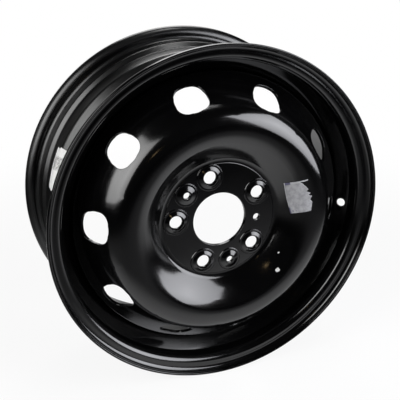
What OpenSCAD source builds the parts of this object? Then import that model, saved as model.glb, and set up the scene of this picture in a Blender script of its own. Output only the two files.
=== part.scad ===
// Steel wheel rim: a rolled drop-centre rim with a pressed disc welded into its well.
// Millimetres. The spin axis is Y, the outboard face looks to -Y and +Z is up.
// The origin is the centre of the bore on the mounting face of the disc.

/* [Rim] */
// Diameter of the bead seats at the flanges
bead_diameter = 405.6; // [403:0.1:409]
// Width between the two flange faces
rim_width = 152.4; // [150:0.1:155]
// Thickness of the rolled strip
rim_sheet = 2.8; // [2.4:0.1:3.2]
// Height of the flanges above the bead seats
flange_height = 17.3; // [16.8:0.1:18.5]
// Radius of the flange curl on the tyre side
flange_curl = 10; // [9:0.1:10.4]
// Degrees that the curl turns on past its highest circle
curl_over = 20; // [10:1:30]
// Depth of the well below the bead seats
well_depth = 17.5; // [16.5:0.1:19]
// Depth of the inboard ledge below the bead seats
ledge_depth = 5.8; // [5:0.1:7]
// Diameter of the valve hole
valve_hole = 11.5; // [8:0.1:13]
// Angle of the valve hole, counted from +X towards +Z
valve_angle = -3.4; // [-12:0.1:6]

/* [Disc] */
// Inset: distance from the mounting face to the middle plane of the rim
inset = 68; // [66:0.5:72]
// Thickness of the pressed sheet at the plate
disc_sheet = 5.5; // [5:0.1:6]
// Thickness of the sheet at the window band and the skirt
band_sheet = 4; // [3.8:0.1:4.4]
// Diameter of the centre bore
bore_diameter = 71.1; // [60:0.1:78]
// Diameter of the flat plate that carries the bolts
plate_diameter = 152; // [150:0.5:156]
// Slope of the bowl in degrees
bowl_slope = 32; // [30:0.5:34]
// Distance inwards from the skirt to the highest circle of the crown
crown_setback = 57.1; // [54.5:0.1:59.5]
// Radius of the crown's section
crown_radius = 29; // [27:0.5:32]
// Slope of the window band in degrees
band_slope = 50.5; // [48:0.5:54]

/* [Bolts] */
// Number of wheel bolts
bolt_count = 5; // [4:1:5]
// Diameter of the bolt circle
bolt_circle = 118; // [114:0.5:120]
// Diameter of the bolt holes
bolt_hole = 16.4; // [14.5:0.1:17]
// Angle of the first bolt, counted from +X towards +Z
clock_angle = 31.9; // [0:0.1:71]
// Height of the pressed bosses around the holes
boss_height = 3; // [2:0.1:3.5]

/* [Windows] */
// Length of a window along the slope of the band
window_length = 38; // [32:0.5:40]
// Width of a window at its crown end
window_width = 45.8; // [38:0.2:48]
// Width of a window at its skirt end
window_end_width = 32.8; // [29:0.2:35]
// Corner radius of a window
window_corner = 13.8; // [9:0.2:14]

/* [Welds] */
// Number of weld beads between the disc and the rim
weld_count = 5; // [4:1:8]
// Arc of each weld bead in degrees
weld_arc = 38; // [20:1:42]
// Leg of the weld bead
weld_leg = 3.6; // [3:0.1:3.8]

/* [Labels] */
// Thickness of the paper labels
paper = 0.3; // [0.2:0.05:0.5]
// Length of the barrel label around the ledge
rim_label_length = 58; // [40:1:70]
// Width of the barrel label, from the ledge down the flank of the well
rim_label_width = 30; // [24:0.5:32]
// Angle of the middle of the barrel label
rim_label_angle = 162.5; // [150:0.5:175]
// Length of the torn bowl label
disc_label_length = 44; // [36:1:48]
// Angle of the torn bowl label
disc_label_angle = 15.8; // [5:0.1:25]

/* [Hidden] */
$fn = 180;
// Largest turn between neighbouring points of a rounded corner
arc_step = 6;

// Rim section, measured from the middle plane
half_width = rim_width / 2;
bead_r = bead_diameter / 2;
flange_r = bead_r + flange_height;
well_r = bead_r - well_depth;
ledge_r = bead_r - ledge_depth;
bead_fillet = 6.5;
bead_width = 14.7;
bead_taper = 5.4;
hump_rise = 0.7;
hump_from_flange = 20.5;
hump_radius = 4.2;
hump_fillet = 5;
hump_run = 6.4;
well_back = 5;
well_fillet = 8;
rim_slope = 45;
ledge_slope = 40;
hump_y = half_width - hump_from_flange;
hump_r = bead_r + hump_rise;
bead_end_r = bead_r - bead_width * tan(bead_taper);
well_front = -hump_y + (hump_r - well_r) / tan(rim_slope);
ledge_front = well_back + (ledge_r - well_r) / tan(ledge_slope);
// The corner that the curl rounds, and the edge that the curl ends at
curl_turn = 90 + curl_over;
curl_centre = [flange_r - flange_curl, half_width + flange_curl];
curl_corner = curl_centre + flange_curl / cos(curl_turn / 2) * [sin(curl_turn / 2), -cos(curl_turn / 2)];
curl_edge = curl_centre + flange_curl * [cos(curl_over), sin(curl_over)];

// Disc section, measured from the mounting face
plate_r = plate_diameter / 2;
plate_fillet = 8;
skirt_r = well_r - rim_sheet;
skirt_fillet = 14;
skirt_setback = 4;
skirt_end = inset - skirt_setback;
crown_r = skirt_r - crown_setback;
bowl_end_r = crown_r - crown_radius * sin(bowl_slope);
bowl_end_y = -disc_sheet - (bowl_end_r - plate_r) * tan(bowl_slope);
crown_centre = [crown_r, bowl_end_y + crown_radius * cos(bowl_slope)];
// Corner that an arc about the crown's centre rounds, between the bowl at a slope and the band
function crown_corner(slope, radius) =
    let (lean = (band_slope - slope) / 2)
    crown_centre + radius / cos((band_slope + slope) / 2) * [sin(lean), -cos(lean)];
band_start = crown_centre + crown_radius * [sin(band_slope), -cos(band_slope)];
band_way = [cos(band_slope), sin(band_slope)];
// Where the band, at a depth below its outboard side, meets the skirt at the same depth
function skirt_corner(depth) =
    let (from = band_start + depth * to_left(band_way))
    [skirt_r - depth, from[1] + (skirt_r - depth - from[0]) * tan(band_slope)];
// The sheet gets thinner up the bowl, so its inboard side is a little steeper
bowl_taper = 2;
back_slope = bowl_slope + bowl_taper;
back_radius = crown_radius - band_sheet;
plate_back_r = crown_r - back_radius * sin(back_slope)
    + (crown_centre[1] - back_radius * cos(back_slope)) / tan(back_slope);

// Windows: one at every bolt and one between, set along the band from the end of the crown
window_count = 2 * bolt_count;
window_along = 21;
window_depth = 14;
window_middle = band_start + window_along * band_way;

// Bosses: a cone that rises from the plate, hollow behind
boss_r = 16.7;
boss_top_r = 10.2;
boss_sink = 1.5;
boss_inset = 1;
boss_wall = 4.5;
bolt_land = 2;
seat_slope = 60;
pin_boss_r = 14.5;
pin_boss_top_r = 6.5;
pin_hole = 9;
drain_circle = 103;
hole_reach = 30;

// The valve hole sits a little above the middle of the outboard slope
valve_raise = 0.6;
valve_r = (hump_r + well_r) / 2 + valve_raise;
valve_y = inset - hump_y + (hump_r - valve_r) / tan(rim_slope);

// A weld bead's outer side stands out at its middle by this share of its leg
weld_bulge = 0.62;

// Labels, on a film of glue; the barrel label has this share of its width on the flank of the well
glue = 0.1;
rim_label_flank = 0.45;
disc_label_setback = 35;
disc_label_low = -0.59;
label_reach = 60;

black_paint = [0.03, 0.03, 0.035];
white_paper = [0.93, 0.93, 0.92];
grey_paper = [0.6, 0.6, 0.61];

function unit(v) = v / norm(v);
function to_left(v) = [-v[1], v[0]];
function backwards(list) = [for (i = [len(list) - 1:-1:0]) list[i]];

// Corner b of the way a-b-c rounded with radius r, on a line that runs side mm to the left of the way
function rounded_corner(a, b, c, r, side) =
    let (
        u = unit(a - b),
        v = unit(c - b),
        half = acos(u * v) / 2,
        centre = b + unit(u + v) * r / sin(half),
        turn = sign(cross(b - a, c - b)),
        from = b + u * r / tan(half) - centre,
        start = atan2(from[1], from[0]),
        sweep = turn * (180 - 2 * half),
        steps = ceil(abs(sweep) / arc_step)
    )
    [for (k = [0:steps])
        let (t = start + sweep * k / steps)
        centre + (r - turn * side) * [cos(t), sin(t)]];

// Points of an open way of [point, corner radius] pairs, moved side mm to its left
function way_points(way, side) =
    let (last = len(way) - 1)
    concat(
        [way[0][0] + side * to_left(unit(way[1][0] - way[0][0]))],
        [for (i = [1:last - 1])
            each rounded_corner(way[i - 1][0], way[i][0], way[i + 1][0], way[i][1], side)],
        [way[last][0] + side * to_left(unit(way[last][0] - way[last - 1][0]))]
    );

// Points of a closed outline of [point, corner radius] pairs
function outline_points(corners) =
    let (n = len(corners))
    [for (i = [0:n - 1])
        each rounded_corner(corners[(i + n - 1) % n][0], corners[i][0], corners[(i + 1) % n][0], corners[i][1], 0)];

// Sheet that follows a way, between two distances to the left of it
module sheet_section(way, near, far) {
    polygon(concat(way_points(way, near), backwards(way_points(way, far))));
}

// Sections are drawn as [radius, Y] and turned about the spin axis
module turned(sweep = 360, middle = 0) {
    rotate([-90, 0, 0])
        rotate([0, 0, -middle - sweep / 2])
            rotate_extrude(angle = sweep)
                children();
}

// Children drawn at +X are carried round the spin axis, from +X towards +Z
module at_angle(angle) {
    rotate([0, -angle, 0])
        children();
}

function bolt_angle(i) = clock_angle + i * 360 / bolt_count;

// The rim's tyre side, from the outboard curl to the inboard curl, before the inset moves it
rim_way = [
    [[curl_edge[0], -curl_edge[1]], 0],
    [[curl_corner[0], -curl_corner[1]], flange_curl],
    [[bead_r, -half_width], bead_fillet],
    [[bead_end_r, -half_width + bead_width], bead_fillet],
    [[hump_r, -hump_y], hump_radius],
    [[well_r, well_front], well_fillet],
    [[well_r, well_back], well_fillet],
    [[ledge_r, ledge_front], well_fillet],
    [[ledge_r, hump_y - hump_run], hump_fillet],
    [[hump_r, hump_y], hump_radius],
    [[bead_end_r, half_width - bead_width], bead_fillet],
    [[bead_r, half_width], bead_fillet],
    [curl_corner, flange_curl],
    [curl_edge, 0]
];

// The disc's outboard side, from the bore to the end of the skirt, and its inboard side
disc_front = [
    [[bore_diameter / 2, -disc_sheet], 0],
    [[plate_r, -disc_sheet], plate_fillet],
    [crown_corner(bowl_slope, crown_radius), crown_radius],
    [skirt_corner(0), skirt_fillet],
    [[skirt_r, skirt_end], 0]
];
disc_back = [
    [[bore_diameter / 2, 0], 0],
    [[plate_back_r, 0], plate_fillet + disc_sheet],
    [crown_corner(back_slope, back_radius), back_radius],
    [skirt_corner(band_sheet), skirt_fillet - band_sheet],
    [[skirt_r - band_sheet, skirt_end], 0]
];

module rim() {
    color(black_paint)
        difference() {
            turned()
                translate([0, inset])
                    sheet_section(rim_way, 0, rim_sheet);
            at_angle(valve_angle)
                translate([valve_r, valve_y, 0])
                    rotate([0, 90, rim_slope])
                        cylinder(h = hole_reach, d = valve_hole, center = true);
        }
}

// A boss at +X: a cone that stands in the plate and rises in front of it
module boss(circle, foot_r, top_r) {
    flare = (foot_r - top_r) / boss_height;
    translate([circle / 2, -disc_sheet + boss_sink, 0])
        rotate([90, 0, 0])
            cylinder(h = boss_height + boss_sink, r1 = foot_r + flare * boss_sink, r2 = top_r);
}

// What a boss leaves open at +X: the hollow behind it, the hole, and a conical seat beyond the land
module boss_opening(circle, foot_r, top_r, hole_d, land) {
    flare = (foot_r - top_r) / boss_height;
    hollow = disc_sheet + boss_height - boss_wall;
    hollow_r = foot_r - boss_inset + flare * boss_sink;
    seat_depth = boss_wall - land;
    translate([circle / 2, 0, 0])
        rotate([90, 0, 0]) {
            translate([0, 0, -boss_sink])
                cylinder(h = hollow + boss_sink, r1 = hollow_r, r2 = hollow_r - flare * (hollow + boss_sink));
            cylinder(h = hole_reach, d = hole_d, center = true);
            if (seat_depth > 0)
                translate([0, 0, hollow + land])
                    cylinder(
                        h = seat_depth + boss_sink,
                        r1 = hole_d / 2,
                        r2 = hole_d / 2 + (seat_depth + boss_sink) / tan(seat_slope)
                    );
        }
}

module window_opening() {
    half = window_length / 2;
    corners = [
        [[-half, -window_width / 2], window_corner],
        [[half, -window_end_width / 2], window_corner],
        [[half, window_end_width / 2], window_corner],
        [[-half, window_width / 2], window_corner]
    ];
    translate([window_middle[0], window_middle[1], 0])
        rotate([90, 0, band_slope])
            translate([0, 0, -window_depth])
                linear_extrude(2 * window_depth)
                    polygon(outline_points(corners));
}

module disc() {
    between = 180 / bolt_count;
    pin_angles = [bolt_angle(1) + between, bolt_angle(bolt_count - 2) + between];
    drain_angle = bolt_angle(0) - between;
    color(black_paint)
        difference() {
            union() {
                turned()
                    polygon(concat(way_points(disc_front, 0), backwards(way_points(disc_back, 0))));
                for (i = [0:bolt_count - 1])
                    at_angle(bolt_angle(i))
                        boss(bolt_circle, boss_r, boss_top_r);
                for (angle = pin_angles)
                    at_angle(angle)
                        boss(bolt_circle, pin_boss_r, pin_boss_top_r);
            }
            for (i = [0:bolt_count - 1])
                at_angle(bolt_angle(i))
                    boss_opening(bolt_circle, boss_r, boss_top_r, bolt_hole, bolt_land);
            for (angle = pin_angles)
                at_angle(angle)
                    boss_opening(bolt_circle, pin_boss_r, pin_boss_top_r, pin_hole, boss_wall);
            at_angle(drain_angle)
                translate([drain_circle / 2, 0, 0])
                    rotate([90, 0, 0])
                        cylinder(h = hole_reach, d = pin_hole, center = true);
            for (i = [0:window_count - 1])
                at_angle(clock_angle + i * 360 / window_count)
                    window_opening();
        }
}

// Fillet beads in the corner between the end of the skirt and the inside of the well
module weld_beads() {
    bulge = weld_bulge * weld_leg;
    color(black_paint)
        for (i = [0:weld_count - 1])
            turned(weld_arc, clock_angle + (i + 0.5) * 360 / weld_count)
                polygon([
                    [skirt_r, skirt_end],
                    [skirt_r, skirt_end + weld_leg],
                    [skirt_r - bulge, skirt_end + bulge],
                    [skirt_r - weld_leg, skirt_end]
                ]);
}

// Paper label stuck over the ledge and down the flank of the well
module rim_label() {
    flank = rim_label_flank * rim_label_width;
    down = [ledge_r, ledge_front] - flank * [sin(ledge_slope), cos(ledge_slope)];
    label_way = [
        [down, 0],
        [[ledge_r, ledge_front], well_fillet],
        [[ledge_r, ledge_front + rim_label_width - flank], 0]
    ];
    color(white_paper)
        turned(rim_label_length / ledge_r * 180 / PI, rim_label_angle)
            translate([0, inset])
                sheet_section(label_way, -glue, -glue - paper);
}

// Torn outer edge of the bowl label: width of the paper, and share of the label's length.
// A narrow strip of paper is left at its upper end.
torn_edge = [
    [23.1, -0.02],
    [25, 0.09],
    [27.2, 0.25],
    [26, 0.34],
    [27.8, 0.44],
    [25.8, 0.49],
    [26.9, 0.55],
    [23.4, 0.62],
    [25.2, 0.68],
    [23.8, 0.77],
    [19.8, 0.9],
    [17.2, 0.95],
    [27, 0.945],
    [27.2, 0.985]
];

// Torn paper label stuck on the bowl, with a strip of it left over the crown
module disc_label() {
    inner = crown_r - disc_label_setback;
    outline = concat([[0, 0]], torn_edge, [[0, 1]]);
    label_way = [
        [[plate_r, -disc_sheet], 0],
        [crown_corner(bowl_slope, crown_radius), crown_radius],
        [skirt_corner(0), 0]
    ];
    color(grey_paper)
        intersection() {
            turned(label_reach, disc_label_angle)
                sheet_section(label_way, -glue, -glue - paper);
            at_angle(disc_label_angle)
                rotate([90, 0, 0])
                    linear_extrude(label_reach)
                        polygon([for (p = outline) [inner + p[0], (p[1] + disc_label_low) * disc_label_length]]);
        }
}

rim();
disc();
weld_beads();
rim_label();
disc_label();
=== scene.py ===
"""Steel wheel rim: a rolled rim, a pressed disc, their welds and two paper labels, in gloss black paint."""
import math

import bmesh
import bpy
import numpy as np
from bpy.props import FloatProperty, FloatVectorProperty, IntProperty, PointerProperty
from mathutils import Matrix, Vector


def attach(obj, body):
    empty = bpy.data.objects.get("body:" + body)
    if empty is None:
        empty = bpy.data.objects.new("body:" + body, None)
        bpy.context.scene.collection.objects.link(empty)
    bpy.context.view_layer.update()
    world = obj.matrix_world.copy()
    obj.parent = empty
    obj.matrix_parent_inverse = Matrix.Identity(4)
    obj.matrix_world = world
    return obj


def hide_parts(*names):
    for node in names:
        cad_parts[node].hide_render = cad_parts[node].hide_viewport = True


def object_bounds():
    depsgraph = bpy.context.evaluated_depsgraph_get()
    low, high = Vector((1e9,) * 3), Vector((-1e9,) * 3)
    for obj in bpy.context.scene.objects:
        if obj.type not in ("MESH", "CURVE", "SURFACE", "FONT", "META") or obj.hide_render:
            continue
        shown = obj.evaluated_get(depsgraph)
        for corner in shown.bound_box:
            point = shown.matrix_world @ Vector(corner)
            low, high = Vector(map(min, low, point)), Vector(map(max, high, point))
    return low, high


bl_info = {
    "name": "Steel Wheel Rim",
    "version": (1, 0, 0),
    "blender": (4, 5, 0),
    "location": "View3D > Sidebar > Wheel",
    "description": "Builds a painted steel wheel rim with a pressed disc, weld beads and paper labels",
    "category": "Object",
}

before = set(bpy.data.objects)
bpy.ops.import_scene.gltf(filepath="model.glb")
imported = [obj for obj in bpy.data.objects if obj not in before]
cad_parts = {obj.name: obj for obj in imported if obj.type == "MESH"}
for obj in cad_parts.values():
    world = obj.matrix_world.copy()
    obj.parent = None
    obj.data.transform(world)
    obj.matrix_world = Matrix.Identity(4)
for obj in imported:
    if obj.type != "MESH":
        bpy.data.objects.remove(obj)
CAD_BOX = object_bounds()
MM = 0.001


def length(name, description, millimetres):
    """A size that a user may change, shown in the scene's unit of length."""
    return FloatProperty(
        name=name, description=description, default=millimetres * MM, unit="LENGTH", precision=5)


def angle(name, description, degrees):
    """An angle that a user may change, shown in degrees."""
    return FloatProperty(name=name, description=description, default=math.radians(degrees), subtype="ANGLE")


def share(name, description, default):
    """A plain number between nothing and one."""
    return FloatProperty(
        name=name, description=description, default=default, min=0.0, max=1.0, subtype="FACTOR")


def colour(name, description, default):
    """A colour in linear light."""
    return FloatVectorProperty(name=name, description=description, default=default, size=3, subtype="COLOR")


class RimSizes(bpy.types.PropertyGroup):
    """Sizes of the rolled rim"""
    bead_diameter: length("Bead diameter", "Diameter of the bead seats at the flanges", 405.6)
    rim_width: length("Width", "Width between the two flange faces", 152.4)
    sheet: length("Sheet", "Thickness of the rolled strip", 2.8)
    flange_height: length("Flange height", "Height of the flanges above the bead seats", 17.3)
    flange_curl: length("Flange curl", "Radius of the flange curl on the tyre side", 10)
    curl_over: angle("Curl over", "Turn of the curl past its highest circle", 20)
    well_depth: length("Well depth", "Depth of the well below the bead seats", 17.5)
    ledge_depth: length("Ledge depth", "Depth of the inboard ledge below the bead seats", 5.8)
    valve_hole: length("Valve hole", "Diameter of the valve hole", 11.5)
    valve_angle: angle("Valve angle", "Angle of the valve hole, from +X towards +Z", -3.4)
    inset: length("Inset", "Distance from the mounting face to the middle plane of the rim", 68)


class DiscSizes(bpy.types.PropertyGroup):
    """Sizes of the pressed disc"""
    sheet: length("Sheet", "Thickness of the pressed sheet at the plate", 5.5)
    band_sheet: length("Band sheet", "Thickness of the sheet at the windows and the skirt", 4)
    bore_diameter: length("Bore", "Diameter of the centre bore", 71.1)
    plate_diameter: length("Plate", "Diameter of the flat plate that carries the bolts", 152)
    bowl_slope: angle("Bowl slope", "Slope of the bowl at the plate", 43.5)
    lip_slope: angle("Lip slope", "Slope of the bowl where it meets the crown", 31.5)
    bowl_curve: length("Bowl curve", "Radius of the bowl's section between its two slopes", 122)
    lip_radius: length("Lip radius", "Radius of the crown's section towards the bowl", 40)
    crown_setback: length(
        "Crown setback", "Distance from the skirt in to the highest circle of the crown", 57.1)
    crown_height: length("Crown height", "Height of the crown above the plate", 25.67)
    crown_radius: length("Crown radius", "Radius of the crown's section towards the windows", 29)
    band_slope: angle("Band slope", "Slope of the window band", 50.5)
    bolt_count: IntProperty(name="Bolts", description="Number of wheel bolts", default=5, min=4, max=6)
    bolt_circle: length("Bolt circle", "Diameter of the bolt circle", 118)
    bolt_hole: length("Bolt hole", "Diameter of the bolt holes", 16.4)
    clock_angle: angle("Clock angle", "Angle of the first bolt, from +X towards +Z", 31.9)
    boss_height: length("Boss height", "Height of the pressed bosses around the holes", 3)
    window_length: length("Window length", "Length of a window along the slope of the band", 38)
    window_width: length("Window width", "Width of a window at its crown end", 45.8)
    window_end_width: length("Window end", "Width of a window at its skirt end", 32.8)
    window_corner: length("Window corner", "Corner radius of a window", 13.8)


class WeldSizes(bpy.types.PropertyGroup):
    """Sizes of the weld beads"""
    bead_count: IntProperty(name="Beads", description="Number of weld beads", default=5, min=1, max=8)
    bead_arc: angle("Bead arc", "Arc of each weld bead", 38)
    leg: length("Leg", "Leg of the weld bead", 3.6)
    ripple: length("Ripple", "Distance between two ripples of a bead", 1.7)


class LabelSizes(bpy.types.PropertyGroup):
    """Sizes of the two paper labels"""
    paper: length("Paper", "Thickness of the paper", 0.3)
    glue: length("Glue", "Thickness of the glue under the paper", 0.1)
    barrel_length: length("Barrel label", "Length of the barrel label around the ledge", 58)
    barrel_width: length("Barrel label width", "Width of the barrel label across the ledge", 30)
    barrel_angle: angle("Barrel label angle", "Angle of the middle of the barrel label", 162.5)
    bowl_length: length("Bowl label", "Length of the torn bowl label", 44)
    bowl_angle: angle("Bowl label angle", "Angle of the torn bowl label", 15.8)


class Finish(bpy.types.PropertyGroup):
    """Colours and gloss of the paint and the paper"""
    paint: colour("Paint", "Colour of the black dip paint", (0.0012, 0.0012, 0.0013))
    paint_roughness: share("Paint roughness", "Roughness of the paint where it is cleanest", 0.10)
    barrel_dullness: share(
        "Barrel dullness", "Roughness that the barrel's tyre side has beyond the rest", 0.18)
    white_paper: colour("White paper", "Colour of the barrel label", (0.86, 0.86, 0.85))
    grey_paper: colour("Grey paper", "Colour of the worn bowl label", (0.345, 0.345, 0.36))
    ink: colour("Ink", "Colour of what is left of the print", (0.035, 0.03, 0.10))
    print_grey: colour("Print grey", "Colour of the print on the barrel label", (0.1, 0.1, 0.1))
    fleck: colour("Fleck", "Colour of the pale flecks on the bowl", (0.6, 0.6, 0.58))


class StageLook(bpy.types.PropertyGroup):
    """Floor, lamps and camera"""
    floor: colour("Floor", "Colour of the pale floor", (0.85, 0.85, 0.85))
    # Floor edge and floor far are painted shade: the floor's colour outside the painted pool of light, seen
    # by the wheel's gloss and bounce light but not by the camera.
    floor_edge: colour("Floor edge", "Colour of the floor outside the pool of light", (0.2, 0.2, 0.2))
    floor_far: colour("Floor far", "Colour of the floor far outside the pool of light", (0.03, 0.03, 0.03))
    floor_glow: share("Floor glow", "Share of plain white that the floor shows near the wheel", 0.88)
    # Pool glow is a painted glow: white that the floor shows in gloss inside the painted pool of light,
    # with no lamp behind it.
    pool_glow: share("Pool glow", "Share of plain white that the pool of light shows in gloss", 0.3)
    room_light: share("Room light", "Light that the dark room gives", 0.01)
    room_paleness: share("Room paleness", "Paleness of the room's far side in gloss", 0.45)
    lamp_radiance: FloatProperty(
        name="Lamps", description="Radiance of the softboxes", default=8.0, min=0.0)
    camera_place: FloatVectorProperty(
        name="Camera", description="Place of the camera", default=(-0.3140, -0.7448, 0.3308), subtype="XYZ")
    camera_tilt: angle("Camera tilt", "Angle of the camera from looking straight down", 67.45)
    camera_turn: angle("Camera turn", "Turn of the camera about the vertical", -20.31)
    focal_length: FloatProperty(
        name="Focal length", description="Focal length in millimetres", default=61.66)


# Sections: lines in the plane of radius and Y, in metres

FINE_STEP = math.radians(1.0)
ROW_STEP = math.radians(4.5)
SAME_POINT = 0.001 * MM
ROW_GAP = 0.2 * MM


def unit(v):
    return v / np.linalg.norm(v)


def to_left(v):
    return np.array((-v[1], v[0]))


def rounded_corner(a, b, c, radius, side, step):
    """Corner b of the way a-b-c rounded with a radius, on a line that runs side to the left of the way."""
    u = unit(a - b)
    v = unit(c - b)
    half = math.acos(float(u @ v)) / 2
    centre = b + unit(u + v) * radius / math.sin(half)
    turn = math.copysign(1.0, float(to_left(b - a) @ (c - b)))
    arm = b + u * radius / math.tan(half) - centre
    sweep = turn * (math.pi - 2 * half)
    steps = max(1, math.ceil(abs(sweep) / step))
    turns = math.atan2(arm[1], arm[0]) + sweep * np.arange(steps + 1) / steps
    return centre + (radius - turn * side) * np.column_stack((np.cos(turns), np.sin(turns)))


def way_points(way, side=0.0, step=ROW_STEP):
    """Points of an open way of (point, corner radius) pairs, moved to its left, each place once."""
    corners = [np.array(point, float) for point, _ in way]
    first = corners[0] + side * to_left(unit(corners[1] - corners[0]))
    last = corners[-1] + side * to_left(unit(corners[-1] - corners[-2]))
    middle = [
        rounded_corner(corners[i - 1], corners[i], corners[i + 1], way[i][1], side, step)
        for i in range(1, len(way) - 1)
    ]
    points = np.vstack([first, *middle, last])
    apart = np.linalg.norm(np.diff(points, axis=0), axis=1) > SAME_POINT
    return points[np.concatenate(([True], apart))]


class Section:
    """A line that is turned about the spin axis, with places on it given by their length along it."""

    def __init__(self, way, side=0.0):
        self.points = way_points(way, side, FINE_STEP)
        steps = np.linalg.norm(np.diff(self.points, axis=0), axis=1)
        self.lengths = np.concatenate(([0.0], np.cumsum(steps)))
        self.rows = self.nearest(way_points(way, side))[0]

    def at(self, lengths):
        """Radius and Y at lengths along the line."""
        return np.column_stack([np.interp(lengths, self.lengths, self.points[:, k]) for k in (0, 1)])

    def nearest(self, places):
        """Length along the line, and distance to the left of it, of places near it."""
        starts = self.points[:-1]
        runs = np.diff(self.points, axis=0)
        spans = np.einsum("ij,ij->i", runs, runs)
        to = places[:, None] - starts
        along = np.clip(np.einsum("ijk,jk->ij", to, runs) / spans, 0, 1)
        off = to - along[..., None] * runs
        best = np.argmin(np.einsum("ijk,ijk->ij", off, off), axis=1)
        pick = np.arange(len(places))
        run = runs[best]
        size = np.sqrt(spans[best])
        away = to[pick, best]
        left = (run[:, 0] * away[:, 1] - run[:, 1] * away[:, 0]) / size
        return self.lengths[best] + along[pick, best] * size, left

    def height(self, radius):
        """Y at a radius, on a line whose radius grows all along it."""
        return np.interp(radius, self.points[:, 0], self.points[:, 1])

    def rows_between(self, start, end):
        """Lengths of the rows from start to end, both of them included."""
        inner = self.rows[(self.rows > start + ROW_GAP) & (self.rows < end - ROW_GAP)]
        return np.concatenate(([start], inner, [end]))


def turned(section_points, angles):
    """Section points carried to each angle about the spin axis, as a grid."""
    radius = section_points[:, 0][:, None]
    y = np.broadcast_to(section_points[:, 1][:, None], (len(section_points), len(angles)))
    return np.stack((radius * np.cos(angles), y, radius * np.sin(angles)), axis=-1)


def on_section(section, lengths, angles):
    """Points on a turned section at pairs of length and angle."""
    place = section.at(np.ravel(lengths)).reshape(*np.shape(lengths), 2)
    radius = place[..., 0]
    return np.stack((radius * np.cos(angles), place[..., 1], radius * np.sin(angles)), axis=-1)


class Sheet:
    """Points and four-cornered faces of a piece, put together from patches that share their edges."""

    weld_distance = 0.02 * MM

    def __init__(self):
        self.points = []
        self.faces = []
        self.count = 0

    def add_grid(self, points, closed=False):
        """Adds a grid of rows of points; a closed grid's last column meets its first."""
        rows, columns = points.shape[:2]
        index = self.count + np.arange(rows * columns).reshape(rows, columns)
        if closed:
            index = np.column_stack((index, index[:, 0]))
        faces = np.stack((index[:-1, :-1], index[:-1, 1:], index[1:, 1:], index[1:, :-1]), axis=-1)
        self.points.append(points.reshape(-1, 3))
        self.faces.append(faces.reshape(-1, 4))
        self.count += rows * columns

    def mesh(self, name):
        """The patches as one mesh, not yet welded."""
        made = bpy.data.meshes.new(name)
        made.from_pydata(np.vstack(self.points).tolist(), [], np.vstack(self.faces).tolist())
        return made


GLOSS_WEIGHT = 60


def welded(name, meshes):
    """One closed object from meshes that share their edges, with faces that point outwards."""
    form = bmesh.new()
    for mesh in meshes:
        form.from_mesh(mesh)
    bmesh.ops.remove_doubles(form, verts=form.verts, dist=Sheet.weld_distance)
    bmesh.ops.recalc_face_normals(form, faces=form.faces)
    loose = [edge for edge in form.edges if len(edge.link_faces) != 2]
    if loose:
        raise RuntimeError(f"{name} has {len(loose)} open edges, first at {loose[0].verts[0].co[:]}")
    made = bpy.data.meshes.new(name)
    form.to_mesh(made)
    form.free()
    made.shade_smooth()
    piece = bpy.data.objects.new(name, made)
    bpy.context.scene.collection.objects.link(piece)
    smooth = piece.modifiers.new("Even gloss", "WEIGHTED_NORMAL")
    smooth.mode = "FACE_AREA"
    smooth.weight = GLOSS_WEIGHT
    return piece


# Holes punched through a turned sheet

OUTLINE_STEP = math.radians(2)
PUNCH_PASSES = 12
RING_CROWDING = 1.3
STRIP_STEP = math.radians(18)


def cell_edge(lengths, angles):
    """Pairs of length and angle round the edge of a cell, from its first corner."""
    near = [(lengths[0], a) for a in angles[:-1]]
    right = [(n, angles[-1]) for n in lengths[:-1]]
    far = [(lengths[-1], a) for a in angles[:0:-1]]
    left = [(n, angles[0]) for n in lengths[:0:-1]]
    return np.array(near + right + far + left)


def rounded_outline(corners, radius):
    """Points of a closed outline with rounded corners."""
    count = len(corners)
    arcs = [
        rounded_corner(corners[i - 1], corners[i], corners[(i + 1) % count], radius, 0.0, OUTLINE_STEP)
        for i in range(count)
    ]
    return np.vstack(arcs)


def reach(outline, directions):
    """Distance from the middle of an outline to its edge, in each direction."""
    bearing = np.arctan2(outline[:, 1], outline[:, 0])
    order = np.argsort(bearing)
    return np.interp(directions, bearing[order], np.hypot(*outline[order].T), period=2 * math.pi)


def punched(section, middle, way, centre_angle, outline):
    """Where a punch with an outline, driven square to the way at its middle, meets a turned section."""
    way = unit(np.array(way))
    outward = -to_left(way)
    depth = np.zeros(len(outline))
    for _ in range(PUNCH_PASSES):
        place = middle + outline[:, :1] * way + depth[:, None] * outward
        radius = np.hypot(place[:, 0], outline[:, 1])
        lengths, left = section.nearest(np.column_stack((radius, place[:, 1])))
        depth += left
    return lengths, centre_angle + np.arctan2(outline[:, 1], place[:, 0])


def eased(first, corner, last, steps=4):
    """Rows of points on a soft edge that leaves first towards corner and comes to last."""
    t = np.linspace(0, 1, steps + 1)[:, None, None]
    return (1 - t) ** 2 * first + 2 * t * (1 - t) * corner + t ** 2 * last


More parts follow.
